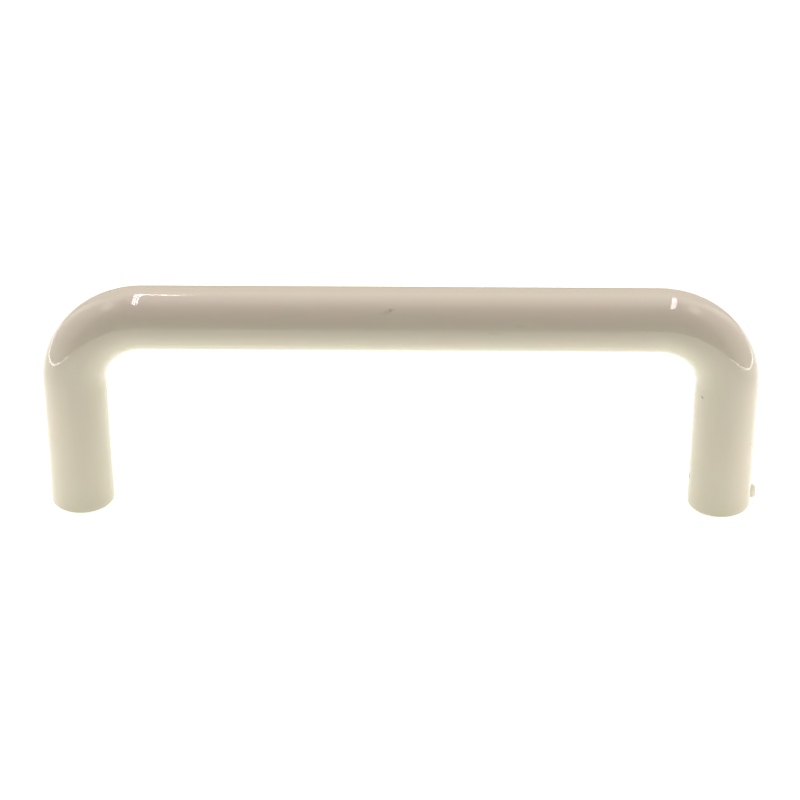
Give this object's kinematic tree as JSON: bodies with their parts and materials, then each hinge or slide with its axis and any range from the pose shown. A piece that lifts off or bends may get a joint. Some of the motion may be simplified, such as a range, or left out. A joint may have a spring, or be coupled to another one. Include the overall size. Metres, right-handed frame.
{
  "type": "wire pull",
  "caption": "U-shaped wire pull in glossy almond plastic: a round bar bent down at each end to a foot with a blind tapped hole, screwed on from behind as the handle of a drawer or cabinet door.",
  "frame": {"origin": "midway between the two screw holes, in the plane of the feet, which is the drawer front's surface", "axes": "+X along the bar towards the foot with the gate mark, +Y across the bar, +Z out of the drawer front, from the feet to the bar"},
  "size_m": [0.1061, 0.0094, 0.036],
  "materials": {
    "almond_plastic": "smooth gloss almond"
  },
  "bodies": {
    "root": {"pull": "almond_plastic"}
  },
  "joints": []
}
